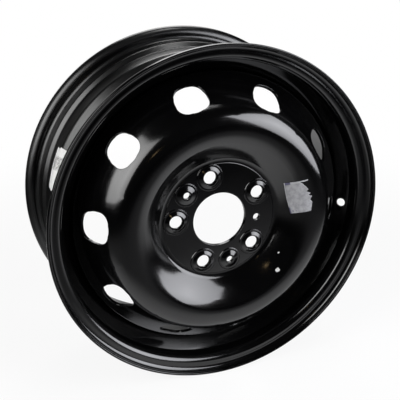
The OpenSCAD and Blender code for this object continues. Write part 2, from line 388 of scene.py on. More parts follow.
def add_hole(sheet, faces, cells, angles, middle, way, outline_of, edge, rings):
    """A cell of a sheet with a punched hole: both faces around it and its wall with soft edges.
    faces and cells hold the two sections and their row lengths.
    outline_of(grow) gives the hole's outline, widened by grow."""
    centre_angle = (angles[0] + angles[-1]) / 2
    border = cell_edge(cells[0], angles)
    start = faces[0].nearest(middle[None])[0][0]
    directions = np.arctan2((border[:, 1] - centre_angle) * middle[0], border[:, 0] - start)
    rims = []
    for section, lengths in zip(faces, cells):
        border = cell_edge(lengths, angles)
        loops = []
        for grow in (edge, 0.0):
            far = reach(outline_of(grow), directions)
            outline = far[:, None] * np.column_stack((np.cos(directions), np.sin(directions)))
            loops.append(punched(section, middle, way, centre_angle, outline))
        hole = np.column_stack(loops[0])
        spread = (np.arange(rings + 1) / rings) ** RING_CROWDING
        places = hole + spread[:, None, None] * (border - hole)
        sheet.add_grid(on_section(section, places[..., 0], places[..., 1]), closed=True)
        rims.append([on_section(section, lengths, turns) for lengths, turns in loops])
    (outer, outer_corner), (inner, inner_corner) = rims
    down = inner_corner - outer_corner
    down = edge * down / np.linalg.norm(down, axis=1)[:, None]
    wall = np.vstack((
        eased(outer, outer_corner, outer_corner + down),
        eased(inner_corner - down, inner_corner, inner),
    ))
    sheet.add_grid(wall, closed=True)


def edge_strip(start, corner_a, corner_b, end, radius):
    """Section points of a sheet's edge between two faces, with both corners rounded."""
    way = [(start, 0), (corner_a, radius), (corner_b, radius), (end, 0)]
    return way_points(way, 0.0, STRIP_STEP)


# Rim

# Corners of the rim's way, by number
HUMP, WELL_FRONT, WELL_BACK, LEDGE = 4, 5, 6, 7


def rim_way(rim):
    """The rim's tyre side, from the outboard curl to the inboard curl."""
    half = rim.rim_width / 2
    bead = rim.bead_diameter / 2
    flange = bead + rim.flange_height
    well = bead - rim.well_depth
    ledge = bead - rim.ledge_depth
    hump = bead + 0.7 * MM
    hump_y = half - 20.5 * MM
    bead_width = 14.7 * MM
    bead_taper = math.radians(5.4)
    bead_end = bead - bead_width * math.tan(bead_taper)
    bead_fillet = 6.5 * MM
    hump_radius = 4.2 * MM
    well_fillet = 8 * MM
    well_front = -hump_y + hump - well
    well_back = 5 * MM
    ledge_rise = math.radians(40)
    ledge_front = well_back + (ledge - well) / math.tan(ledge_rise)
    ledge_back = hump_y - 6.4 * MM
    ledge_fillet = 5 * MM
    turn = math.pi / 2 + rim.curl_over
    centre = np.array((flange - rim.flange_curl, half + rim.flange_curl))
    aim = np.array((math.sin(turn / 2), -math.cos(turn / 2)))
    corner = centre + rim.flange_curl / math.cos(turn / 2) * aim
    edge = centre + rim.flange_curl * np.array((math.cos(rim.curl_over), math.sin(rim.curl_over)))
    way = [
        ((edge[0], -edge[1]), 0),
        ((corner[0], -corner[1]), rim.flange_curl),
        ((bead, -half), bead_fillet),
        ((bead_end, bead_width - half), bead_fillet),
        ((hump, -hump_y), hump_radius),
        ((well, well_front), well_fillet),
        ((well, well_back), well_fillet),
        ((ledge, ledge_front), well_fillet),
        ((ledge, ledge_back), ledge_fillet),
        ((hump, hump_y), hump_radius),
        ((bead_end, half - bead_width), bead_fillet),
        ((bead, half), bead_fillet),
        ((corner[0], corner[1]), rim.flange_curl),
        ((edge[0], edge[1]), 0),
    ]
    return [(np.array(point) + (0, rim.inset), radius) for point, radius in way]


RIM_STEPS = 240
VALVE_STEPS = 4
VALVE_ROWS = 8
VALVE_CELL = 8.5 * MM
VALVE_RAISE = 0.6 * MM
VALVE_EDGE = 0.4 * MM
VALVE_RINGS = 5
VALVE_POINTS = 180
SOFT_EDGE = 1.1 * MM
FLANGE_EDGE = 0.9 * MM


def make_rim(rim):
    """The rolled rim: a turned strip with curled flanges and a valve hole."""
    way = rim_way(rim)
    tyre_side = Section(way)
    inner_side = Section(way, rim.sheet)
    hump, well = (np.array(way[i][0]) for i in (HUMP, WELL_FRONT))
    slope = unit(well - hump)
    middle = (hump + well) / 2 - slope * VALVE_RAISE * math.sqrt(2)
    step = 2 * math.pi / RIM_STEPS
    angles = rim.valve_angle + step * np.arange(VALVE_STEPS, RIM_STEPS - VALVE_STEPS + 1)
    cell_angles = rim.valve_angle + step * np.arange(-VALVE_STEPS, VALVE_STEPS + 1)
    round_angles = rim.valve_angle + step * np.arange(RIM_STEPS)
    sides = (tyre_side, inner_side)
    sheet = Sheet()
    cells = []
    for section in sides:
        start = section.nearest(middle[None])[0][0]
        cell = np.linspace(start - VALVE_CELL, start + VALVE_CELL, VALVE_ROWS + 1)
        cells.append(cell)
        last = section.lengths[-1]
        before = section.rows_between(SOFT_EDGE, cell[0])
        after = section.rows_between(cell[-1], last - SOFT_EDGE)
        sheet.add_grid(turned(section.at(before), round_angles), closed=True)
        sheet.add_grid(turned(section.at(after), round_angles), closed=True)
        sheet.add_grid(turned(section.at(cell), angles))

    def valve_outline(grow):
        turns = np.linspace(-math.pi, math.pi, VALVE_POINTS, endpoint=False)
        return (rim.valve_hole / 2 + grow) * np.column_stack((np.cos(turns), np.sin(turns)))

    add_hole(
        sheet, sides, cells, cell_angles, middle, slope, valve_outline, VALVE_EDGE, VALVE_RINGS)
    for end, inwards in ((0, 1), (-1, -1)):
        corners = [section.at([section.lengths[end]])[0] for section in sides]
        starts = [section.at([section.lengths[end] + inwards * SOFT_EDGE])[0] for section in sides]
        strip = edge_strip(starts[0], corners[0], corners[1], starts[1], FLANGE_EDGE)
        sheet.add_grid(turned(strip, round_angles), closed=True)
    return welded("rim_shell", [sheet.mesh("rim_shell")])


# Disc

SECTOR_STEPS = 28
PLATE_EDGE = 84 * MM
PLATE_FILLET = 9 * MM
SKIRT_FILLET = 14 * MM
BOWL_TURN = 32.3 * MM
BORE_EDGE = 0.9 * MM
WINDOW_EDGE = 0.7 * MM
WINDOW_ALONG = 21 * MM
WINDOW_RINGS = 8
SKIRT_SETBACK = 4 * MM
SHEET_EDGE = 0.7 * MM
# Reach and rows of a window's cell on the crown and on the band
CROWN_CELL = 13 * MM
CROWN_ROWS = 6
BAND_CELL = 46 * MM
BAND_ROWS = 11
BACK_SHRINK = 0.86
FLAT_ROWS = 9
FILLET_ROWS = 11
PLATE_RINGS = 10


def other_side(way, depths):
    """Way of a sheet's other side: each straight of a way moved to its left by its own depth."""
    corners = [np.array(point, float) for point, _ in way]
    runs = [unit(b - a) for a, b in zip(corners, corners[1:])]
    made = [(corners[0] + depths[0] * to_left(runs[0]), 0)]
    for i in range(1, len(runs)):
        u, v = runs[i - 1], runs[i]
        turn = float(to_left(u) @ v)
        start = corners[i] + depths[i - 1] * to_left(u)
        gap = corners[i] + depths[i] * to_left(v) - start
        along = float(gap @ -to_left(v)) / turn
        depth = (depths[i - 1] + depths[i]) / 2
        made.append((start + along * u, way[i][1] - math.copysign(depth, turn)))
    made.append((corners[-1] + depths[-1] * to_left(runs[-1]), 0))
    return made


def disc_ways(disc, rim):
    """The disc's outboard and inboard sides, and the place and way of a window's middle."""
    skirt = rim.bead_diameter / 2 - rim.well_depth - rim.sheet
    skirt_end = rim.inset - SKIRT_SETBACK
    crown = skirt - disc.crown_setback
    top = -disc.sheet - disc.crown_height
    band = disc.band_slope
    band_way = np.array((math.cos(band), math.sin(band)))
    outer = disc.crown_radius
    band_start = np.array((crown + outer * math.sin(band), top + outer * (1 - math.cos(band))))
    lip = crown - disc.lip_radius * math.tan(disc.lip_slope / 2)
    turn = crown - BOWL_TURN
    turn_y = top + (lip - turn) * math.tan(disc.lip_slope)
    foot = turn + (turn_y + disc.sheet) / math.tan(disc.bowl_slope)
    front = [
        ((disc.bore_diameter / 2, -disc.sheet), 0),
        ((foot, -disc.sheet), PLATE_FILLET),
        ((turn, turn_y), disc.bowl_curve),
        ((lip, top), disc.lip_radius),
        ((crown + outer * math.tan(band / 2), top), outer),
        ((skirt, band_start[1] + (skirt - band_start[0]) * math.tan(band)), SKIRT_FILLET),
        ((skirt, skirt_end), 0),
    ]
    thin = disc.band_sheet
    back = other_side(front, (disc.sheet, (disc.sheet + thin) / 2, thin, thin, thin, thin))
    return front, back, band_start, band_way


def window_outline(disc, grow):
    """Outline of a window in its own plane, from the crown end to the skirt end."""
    half = disc.window_length / 2 + grow
    wide = disc.window_width / 2 + grow
    end = disc.window_end_width / 2 + grow
    corners = [np.array(c) for c in ((-half, -wide), (half, -end), (half, end), (-half, wide))]
    return rounded_outline(corners, disc.window_corner + grow)


def window_sector(disc, front, back, band_start, band_way):
    """One sector of the disc from the bowl to the end of the skirt, with its window."""
    half = math.pi / (2 * disc.bolt_count)
    angles = np.linspace(-half, half, SECTOR_STEPS + 1)
    middle = band_start + WINDOW_ALONG * band_way
    sheet = Sheet()
    cells = []
    for section, shrink in ((front, 1.0), (back, BACK_SHRINK)):
        start = section.nearest(band_start[None])[0][0]
        arc = np.linspace(start - CROWN_CELL * shrink, start, CROWN_ROWS + 1)
        straight = np.linspace(start, start + BAND_CELL, BAND_ROWS + 1)
        cell = np.concatenate((arc, straight[1:]))
        cells.append(cell)
        bowl_start = np.interp(PLATE_EDGE, section.points[:, 0], section.lengths)
        sheet.add_grid(turned(section.at(section.rows_between(bowl_start, cell[0])), angles))
        end = section.lengths[-1] - BORE_EDGE
        sheet.add_grid(turned(section.at(section.rows_between(cell[-1], end)), angles))
    add_hole(
        sheet, (front, back), cells, angles, middle, band_way,
        lambda grow: window_outline(disc, grow), WINDOW_EDGE, WINDOW_RINGS)
    strip = edge_strip(
        front.at([front.lengths[-1] - BORE_EDGE])[0], front.points[-1],
        back.points[-1], back.at([back.lengths[-1] - BORE_EDGE])[0], SHEET_EDGE)
    sheet.add_grid(turned(strip, angles))
    return sheet.mesh("window_sector")


def plate_rows(disc, front):
    """Radii of the rows of the plate, closer together at its fillet."""
    bore = disc.bore_diameter / 2 + BORE_EDGE
    flat_end = front.points[1, 0]
    flat = np.linspace(bore, flat_end, FLAT_ROWS + 1)
    fillet = np.linspace(flat_end, PLATE_EDGE, FILLET_ROWS + 1)
    return np.concatenate((flat, fillet[1:]))


BOSS_INSET = 1 * MM
BOSS_STEP_HEIGHT = 0.7 * MM
BOSS_STEP_FILLET = 0.5 * MM
BOSS_FILLET = 1.2 * MM
HOLLOW_FILLET = 3.2 * MM
MOUTH_FILLET = 0.35 * MM
LAND_FILLET = 0.3 * MM
HOLE_EDGE = 0.5 * MM
SEAT_SLOPE = math.radians(60)
BOSS_ARC_STEP = math.radians(9)


def boss_profile(disc, hole, foot, top, seat):
    """Line from the plate's front over a boss, down through its hole and out over its hollow back.
    It is drawn as distance from the boss's axis, and Y."""
    face = -disc.sheet
    high = face - disc.boss_height
    flare = (foot - top) / disc.boss_height
    hollow = (foot - BOSS_INSET - hole) / flare
    land = high + seat
    mouth = hole + seat / math.tan(SEAT_SLOPE)
    outer = foot + 1.3 * MM
    step = face - BOSS_STEP_HEIGHT
    step_start = foot + 0.8 * MM
    step_top = foot - 0.2 * MM
    flank_start = foot - 2.4 * MM
    way = [
        ((outer, face), 0),
        ((step_start, face), BOSS_STEP_FILLET),
        ((step_top, step), BOSS_STEP_FILLET),
        ((flank_start, step), BOSS_FILLET),
        ((top, high), BOSS_FILLET),
        ((mouth, high), MOUTH_FILLET),
    ]
    if seat:
        way.append(((hole, land), LAND_FILLET))
    way += [
        ((hole, -hollow), HOLE_EDGE),
        ((foot - BOSS_INSET, 0), HOLLOW_FILLET),
        ((outer, 0), 0),
    ]
    return way_points(way, 0.0, BOSS_ARC_STEP)


def plain_profile(disc, hole, outer):
    """Line from the plate's front down through a plain hole to its back."""
    way = [
        ((outer, -disc.sheet), 0),
        ((hole, -disc.sheet), HOLE_EDGE),
        ((hole, 0), HOLE_EDGE),
        ((outer, 0), 0),
    ]
    return way_points(way, 0.0, STRIP_STEP)


def plate_sector(disc, front, back, circle=None, profile=None):
    """One sector of the plate from the bore to the bowl, with a hole or boss where a profile is given."""
    half = math.pi / (2 * disc.bolt_count)
    angles = np.linspace(-half, half, SECTOR_STEPS + 1)
    rows = plate_rows(disc, front)
    sheet = Sheet()
    bore = disc.bore_diameter / 2
    strip = edge_strip(
        (bore + BORE_EDGE, -disc.sheet), (bore, -disc.sheet), (bore, 0), (bore + BORE_EDGE, 0), SHEET_EDGE)
    sheet.add_grid(turned(strip, angles))
    if profile is None:
        for section in (front, back):
            sheet.add_grid(turned(np.column_stack((rows, section.height(rows))), angles))
        return sheet.mesh("plate_sector")
    border = cell_edge(rows, angles)
    flat = border[:, :1] * np.column_stack((np.cos(border[:, 1]), np.sin(border[:, 1])))
    axis = np.array((circle / 2, 0))
    aim = flat - axis
    aim = aim / np.linalg.norm(aim, axis=1)[:, None]
    foot = axis + profile[0, 0] * aim
    spread = np.linspace(0, 1, PLATE_RINGS + 1)[:, None, None]
    places = foot + spread * (flat - foot)

    def lifted(plane, y):
        return np.stack((plane[..., 0], y, plane[..., 1]), axis=-1)

    for section in (front, back):
        sheet.add_grid(lifted(places, section.height(np.linalg.norm(places, axis=-1))), closed=True)
    plane = axis + profile[:, 0][:, None, None] * aim
    radius = np.linalg.norm(plane, axis=-1)
    drop = -profile[:, 1][:, None] / disc.sheet
    blend = np.clip(drop, 0, 1)
    rise = blend * (front.height(radius) + disc.sheet) + (1 - blend) * back.height(radius)
    sheet.add_grid(lifted(plane, profile[:, 1][:, None] + rise), closed=True)
    return sheet.mesh("plate_sector")


def turned_copies_tree():
    """Geometry nodes that repeat a sector about the spin axis and weld the copies."""
    tree = bpy.data.node_groups.new("turned_copies", "GeometryNodeTree")
    face = tree.interface
    face.new_socket("Geometry", in_out="INPUT", socket_type="NodeSocketGeometry")
    face.new_socket("Count", in_out="INPUT", socket_type="NodeSocketInt")
    face.new_socket("First Angle", in_out="INPUT", socket_type="NodeSocketFloat")
    face.new_socket("Step Angle", in_out="INPUT", socket_type="NodeSocketFloat")
    face.new_socket("Material", in_out="INPUT", socket_type="NodeSocketMaterial")
    face.new_socket("Geometry", in_out="OUTPUT", socket_type="NodeSocketGeometry")
    nodes = tree.nodes
    link = tree.links.new
    given = nodes.new("NodeGroupInput")
    points = nodes.new("GeometryNodeMeshLine")
    points.inputs["Offset"].default_value = (0, 0, 0)
    index = nodes.new("GeometryNodeInputIndex")
    turn = nodes.new("ShaderNodeMath")
    turn.operation = "MULTIPLY_ADD"
    back = nodes.new("ShaderNodeMath")
    back.operation = "MULTIPLY"
    back.inputs[1].default_value = -1
    rotation = nodes.new("FunctionNodeAxisAngleToRotation")
    rotation.inputs["Axis"].default_value = (0, 1, 0)
    copies = nodes.new("GeometryNodeInstanceOnPoints")
    real = nodes.new("GeometryNodeRealizeInstances")
    weld = nodes.new("GeometryNodeMergeByDistance")
    weld.inputs["Distance"].default_value = Sheet.weld_distance
    paint = nodes.new("GeometryNodeSetMaterial")
    result = nodes.new("NodeGroupOutput")
    link(given.outputs["Count"], points.inputs["Count"])
    link(index.outputs[0], turn.inputs[0])
    link(given.outputs["Step Angle"], turn.inputs[1])
    link(given.outputs["First Angle"], turn.inputs[2])
    link(turn.outputs[0], back.inputs[0])
    link(back.outputs[0], rotation.inputs["Angle"])
    link(points.outputs["Mesh"], copies.inputs["Points"])
    link(given.outputs["Geometry"], copies.inputs["Instance"])
    link(rotation.outputs[0], copies.inputs["Rotation"])
    link(copies.outputs["Instances"], real.inputs["Geometry"])
    link(real.outputs["Geometry"], weld.inputs["Geometry"])
    link(weld.outputs["Geometry"], paint.inputs["Geometry"])
    link(given.outputs["Material"], paint.inputs["Material"])
    link(paint.outputs["Geometry"], result.inputs["Geometry"])
    return tree


def made_by_nodes(mesh, tree, values):
    """The plain mesh that a tree makes of a mesh, with the tree's inputs set by name."""
    maker = bpy.data.objects.new(mesh.name, mesh)
    bpy.context.scene.collection.objects.link(maker)
    modifier = maker.modifiers.new(tree.name, "NODES")
    modifier.node_group = tree
    for item in tree.interface.items_tree:
        if item.in_out == "INPUT" and item.name in values:
            modifier[item.identifier] = values[item.name]
    graph = bpy.context.evaluated_depsgraph_get()
    made = bpy.data.meshes.new_from_object(maker.evaluated_get(graph), depsgraph=graph)
    bpy.data.objects.remove(maker)
    return made


# Radii of the bosses and holes of the plate, and the depth of a bolt's cone
SEAT_FOOT = 16.7 * MM
SEAT_TOP = 10.2 * MM
SEAT_DEPTH = 2.5 * MM
PIN_HOLE = 4.5 * MM
PIN_FOOT = 14.5 * MM
PIN_TOP = 6.5 * MM
DRAIN_HOLE = 4.5 * MM
DRAIN_CELL = 12 * MM
DRAIN_CIRCLE = 103 * MM


def pin_places(disc):
    """Places of the two pin bosses, in half steps between bolts."""
    return 3, 2 * disc.bolt_count - 3


def make_disc(disc, rim, paint):
    """The pressed disc: plate with bolt seats, bowl, crown, windows and skirt."""
    front_way, back_way, band_start, band_way = disc_ways(disc, rim)
    front = Section(front_way)
    back = Section(back_way)
    tree = turned_copies_tree()
    sector = math.pi / disc.bolt_count
    bolts = disc.bolt_count
    seat = boss_profile(disc, disc.bolt_hole / 2, SEAT_FOOT, SEAT_TOP, SEAT_DEPTH)
    pin = boss_profile(disc, PIN_HOLE, PIN_FOOT, PIN_TOP, 0.0)
    drain = plain_profile(disc, DRAIN_HOLE, DRAIN_CELL)
    ring = disc.bolt_circle
    copies = [
        (window_sector(disc, front, back, band_start, band_way), 2 * bolts, 0, sector),
        (plate_sector(disc, front, back, ring, seat), bolts, 0, 2 * sector),
    ]
    holes = {place: (ring, pin) for place in pin_places(disc)}
    holes[2 * bolts - 1] = (DRAIN_CIRCLE, drain)
    for place in range(1, 2 * bolts, 2):
        hole = holes.get(place, (None, None))
        copies.append((plate_sector(disc, front, back, *hole), 1, place * sector, sector))
    meshes = [
        made_by_nodes(mesh, tree, {
            "Count": count,
            "First Angle": disc.clock_angle + first,
            "Step Angle": step,
            "Material": paint,
        })
        for mesh, count, first, step in copies
    ]
    return welded("disc_pressing", meshes)


# Weld beads

BEAD_ROWS_PER_RIPPLE = 5
BEAD_COLUMNS = 10
BEAD_BULGE = 0.62
BEAD_END = 3 * MM
BEAD_END_LEAST = 0.02
RIPPLE_LAG = 0.9
RIPPLE_HEIGHT = 0.07
# Two slow waves of a bead's size: share of its leg, pace and start
WANDER = ((0.05, 1.0, 0.0), (0.04, 0.37, 1.0))


def weld_bead(weld, corner):
    """One bead in the corner between the skirt's end and the barrel, with the ripples of its run."""
    along = weld.bead_arc * corner[0]
    rows = math.ceil(along / weld.ripple * BEAD_ROWS_PER_RIPPLE)
    places = np.linspace(0, along, rows + 1)
    across = np.linspace(0, math.pi / 2, BEAD_COLUMNS + 1)
    bulge = BEAD_BULGE * math.sqrt(2) * np.sin(2 * across) + (1 - np.sin(2 * across))
    lag = RIPPLE_LAG * np.sin(2 * across)
    phase = 2 * math.pi * (places[:, None] / weld.ripple + lag)
    wander = sum(part * np.sin(pace * places / weld.leg + start) for part, pace, start in WANDER)
    near_end = np.minimum(places, along - places)
    ends = np.sqrt(1 - (1 - np.clip(near_end / BEAD_END, BEAD_END_LEAST, 1)) ** 2)
    ripples = RIPPLE_HEIGHT * np.sin(phase) * np.sin(2 * across)
    size = weld.leg * (bulge * (1 + ripples + wander[:, None]))
    size = np.minimum(size, weld.leg * np.maximum(bulge, 1)) * ends[:, None]
    angles = (places - along / 2) / corner[0]
    radius = corner[0] - size * np.sin(across)
    y = corner[1] + size * np.cos(across)
    skin = np.stack((radius * np.cos(angles)[:, None], y, radius * np.sin(angles)[:, None]), axis=-1)
    root = turned(corner[None], angles)[0][:, None]
    sheet = Sheet()
    sheet.add_grid(np.concatenate((root, skin), axis=1), closed=True)
    for end in (0, -1):
        middle = skin[end, BEAD_COLUMNS // 2]
        loop = np.concatenate((root[end], skin[end]))
        hub = np.broadcast_to((middle + root[end, 0]) / 2, loop.shape)
        sheet.add_grid(np.stack((loop, hub)), closed=True)
    return sheet.mesh("weld_bead")


def make_welds(weld, disc, rim, paint):
    """The beads that join the end of the skirt to the inside of the barrel."""
    corner = np.array(disc_ways(disc, rim)[0][-1][0])
    step = 2 * math.pi / weld.bead_count
    made = made_by_nodes(weld_bead(weld, corner), turned_copies_tree(), {
        "Count": weld.bead_count,
        "First Angle": disc.clock_angle + step / 2,
        "Step Angle": step,
        "Material": paint,
    })
    return welded("weld_runs", [made])


# Labels

LABEL_UV = "label"
LABEL_ROWS = 40
LABEL_COLUMNS = 60
# Share of the barrel label that lies on the well's flank
FLANK_SHARE = 0.45
# The barrel label's short side is cut back past a place across it, over a short slope
CHOP_SHARE = 0.05
CHOP_START = 0.55
CHOP_SLOPE = 0.1


def paper_sheet(name, mesh, paper):
    """A label from its lower side: paper of its thickness with soft faces."""
    mesh.shade_smooth()
    piece = bpy.data.objects.new(name, mesh)
    bpy.context.scene.collection.objects.link(piece)
    thick = piece.modifiers.new("Paper", "SOLIDIFY")
    thick.thickness = paper
    thick.offset = 1.0
    return piece


def set_label_uv(mesh, values):
    """Gives each point of a label its place on the paper."""
    layer = mesh.uv_layers.new(name=LABEL_UV)
    corners = np.empty(len(mesh.loops), dtype=int)
    mesh.loops.foreach_get("vertex_index", corners)
    layer.uv.foreach_set("vector", np.asarray(values)[corners].astype(np.float32).ravel())


def make_barrel_label(label, rim):
    """White paper label over the ledge of the barrel and down the flank of the well."""
    way = rim_way(rim)
    well, ledge = (np.array(way[i][0]) for i in (WELL_BACK, LEDGE))
    flank = FLANK_SHARE * label.barrel_width
    run = [
        (ledge + flank * unit(well - ledge), 0),
        (ledge, way[LEDGE][1]),
        (ledge + (0, label.barrel_width - flank), 0),
    ]
    section = Section(run, -label.glue)
    rows = np.linspace(0, section.lengths[-1], LABEL_ROWS + 1)
    columns = np.linspace(-0.5, 0.5, LABEL_COLUMNS + 1)
    spread = label.barrel_length / ledge[0]
    across = rows / rows[-1]
    chop = CHOP_SHARE * np.clip((across - CHOP_START) / CHOP_SLOPE, 0, 1)
    angles = label.barrel_angle + spread * (columns * (1 - chop[:, None]) + chop[:, None] / 2)
    points = on_section(section, np.broadcast_to(rows[:, None], angles.shape), angles)
    sheet = Sheet()
    sheet.add_grid(points)
    mesh = sheet.mesh("barrel_label")
    grid = np.stack(np.meshgrid(across, columns + 0.5, indexing="ij"), axis=-1)
    set_label_uv(mesh, grid.reshape(-1, 2))
    return paper_sheet("barrel_label", mesh, label.paper)


BOWL_LABEL_SETBACK = 35 * MM
BOWL_LABEL_LOW = -0.59
BOWL_LABEL_WIDE = 28 * MM
# Width in millimetres from the inner edge, at a share of the label's length
TORN_EDGE = (
    (23.1, -0.02), (25, 0.09), (27.2, 0.25), (25.2, 0.34), (28.4, 0.43), (24.6, 0.49), (27.2, 0.54),
    (22.6, 0.62), (25.4, 0.67), (23.6, 0.77), (19.8, 0.9), (17.2, 0.95), (27, 0.945), (27.2, 0.985),
)
TEAR_STEP = 0.7 * MM
TEAR_ROUGHNESS = 0.28 * MM
PAPER_CELL = 1.4 * MM
TEAR_SEED = 7


def torn_outline(label):
    """Outline of the bowl label as width from its inner edge and place along it, rough where it is torn."""
    corners = [(0.0, 0.0)] + [(w * MM, at) for w, at in TORN_EDGE] + [(0.0, 1.0)]
    corners = np.array([(w, (at + BOWL_LABEL_LOW) * label.bowl_length) for w, at in corners])
    draw = np.random.default_rng(TEAR_SEED)
    outline = []
    for number, (start, end) in enumerate(zip(corners, np.roll(corners, -1, axis=0))):
        torn = 0 < number < len(corners) - 3
        count = max(1, math.ceil(np.linalg.norm(end - start) / TEAR_STEP))
        stretch = start + (end - start) * (np.arange(count) / count)[:, None]
        if torn:
            stretch[1:] += draw.uniform(-TEAR_ROUGHNESS, TEAR_ROUGHNESS, (count - 1, 2))
        outline.append(stretch)
    return np.vstack(outline)


def make_bowl_label(label, disc, rim):
    """Grey paper label on the bowl, with a torn outer edge and a strip left at its upper end."""
    front, _, _, _ = disc_ways(disc, rim)
    section = Section([(front[1][0], 0), front[2], front[3], (front[4][0], 0)], -label.glue)
    inner = front[-1][0][0] - disc.crown_setback - BOWL_LABEL_SETBACK
    outline = torn_outline(label)
    form = bmesh.new()
    form.faces.new([form.verts.new((x, z, 0)) for x, z in outline])
    low = outline.min(axis=0)
    high = outline.max(axis=0)
    for axis in (0, 1):
        normal = Vector((1 - axis, axis, 0))
        for cut in np.arange(low[axis] + PAPER_CELL, high[axis], PAPER_CELL):
            parts = form.verts[:] + form.edges[:] + form.faces[:]
            bmesh.ops.bisect_plane(form, geom=parts, plane_co=normal * cut, plane_no=normal)
    bmesh.ops.remove_doubles(form, verts=form.verts, dist=Sheet.weld_distance)
    bmesh.ops.triangulate(form, faces=form.faces)
    mesh = bpy.data.meshes.new("bowl_label")
    form.to_mesh(mesh)
    form.free()
    flat = np.array([v.co[:2] for v in mesh.vertices])
    set_label_uv(mesh, flat / (BOWL_LABEL_WIDE, label.bowl_length) - (0, BOWL_LABEL_LOW))
    reach_out = inner + flat[:, 0]
    radius = np.hypot(reach_out, flat[:, 1])
    turns = label.bowl_angle + np.arctan2(flat[:, 1], reach_out)
    y = section.height(radius)
    points = np.column_stack((radius * np.cos(turns), y, radius * np.sin(turns)))
    mesh.vertices.foreach_set("co", points.astype(np.float32).ravel())
    if mesh.polygons[0].normal.y > 0:
        mesh.flip_normals()
    return paper_sheet("bowl_label", mesh, label.paper)


# Materials

def add_node(tree, kind, inputs=None, **settings):
    """Adds a node, sets its options, and joins or sets its inputs by name or number."""
    node = tree.nodes.new(kind)
    for name, value in settings.items():
        setattr(node, name, value)
    for name, value in (inputs or {}).items():
        if isinstance(value, bpy.types.NodeSocket):
            tree.links.new(value, node.inputs[name])
        else:
            node.inputs[name].default_value = value
    return node


def calculated(tree, operation, *values):
    """Result of a Math node."""
    return add_node(tree, "ShaderNodeMath", dict(enumerate(values)), operation=operation).outputs[0]


def moved(tree, operation, *values):
    """Result of a Vector Math node."""
    return add_node(tree, "ShaderNodeVectorMath", dict(enumerate(values)), operation=operation)


def ranged(tree, value, low, high, to_low=0.0, to_high=1.0):
    """A value carried from one range to another, with soft ends."""
    inputs = {"Value": value, "From Min": low, "From Max": high, "To Min": to_low, "To Max": to_high}
    return add_node(tree, "ShaderNodeMapRange", inputs, interpolation_type="SMOOTHSTEP").outputs[0]


def mixed(tree, factor, first, second):
    """Colour between two colours."""
    mix = add_node(tree, "ShaderNodeMix", data_type="RGBA")
    for number, value in ((0, factor), (6, first), (7, second)):
        if isinstance(value, bpy.types.NodeSocket):
            tree.links.new(value, mix.inputs[number])
        else:
            mix.inputs[number].default_value = value
    return mix.outputs[2]


def opaque(shade):
    return (*shade, 1.0)


def new_group(name, inputs, outputs):
    """An empty shader group, with the sockets that its nodes start from and end in."""
    group = bpy.data.node_groups.new(name, "ShaderNodeTree")
    for label, kind in inputs:
        group.interface.new_socket(label, in_out="INPUT", socket_type="NodeSocket" + kind)
    for label in outputs:
        group.interface.new_socket(label, in_out="OUTPUT", socket_type="NodeSocketFloat")
    return group, group.nodes.new("NodeGroupInput").outputs, group.nodes.new("NodeGroupOutput").inputs


def paint_skin_group():
    """The slight waves of dipped paint, and the haze that dust and handling leave on it."""
    group, given, result = new_group("paint_skin", [
        ("Vector", "Vector"), ("Wave Size", "Float"), ("Haze Size", "Float")], ["Height", "Haze"])
    for size, detail, output in (("Wave Size", 1.0, "Height"), ("Haze Size", 5.0, "Haze")):
        scale = calculated(group, "DIVIDE", 1.0, given[size])
        noise = add_node(group, "ShaderNodeTexNoise", {
            "Vector": given["Vector"], "Scale": scale, "Detail": detail, "Roughness": 0.55})
        group.links.new(noise.outputs[0], result[output])
    return group


def rolled_lines_group():
    """Fine lines around the spin axis, as rolling and drawing leave them in the sheet."""
    group, given, result = new_group(
        "rolled_lines", [("Vector", "Vector"), ("Line Width", "Float")], ["Height"])
    split = add_node(group, "ShaderNodeSeparateXYZ", {0: given["Vector"]})
    across = calculated(group, "MULTIPLY", split.outputs["X"], split.outputs["X"])
    up = calculated(group, "MULTIPLY", split.outputs["Z"], split.outputs["Z"])
    radius = calculated(group, "SQRT", calculated(group, "ADD", across, up))
    place = add_node(group, "ShaderNodeCombineXYZ", {"X": radius, "Y": split.outputs["Y"]})
    scale = calculated(group, "DIVIDE", 1.0, given["Line Width"])
    noise = add_node(group, "ShaderNodeTexNoise", {
        "Vector": place.outputs[0], "Scale": scale, "Detail": 2.0, "Roughness": 0.6})
    group.links.new(noise.outputs[0], result["Height"])
    return group


BOSS_COINING = 0.45


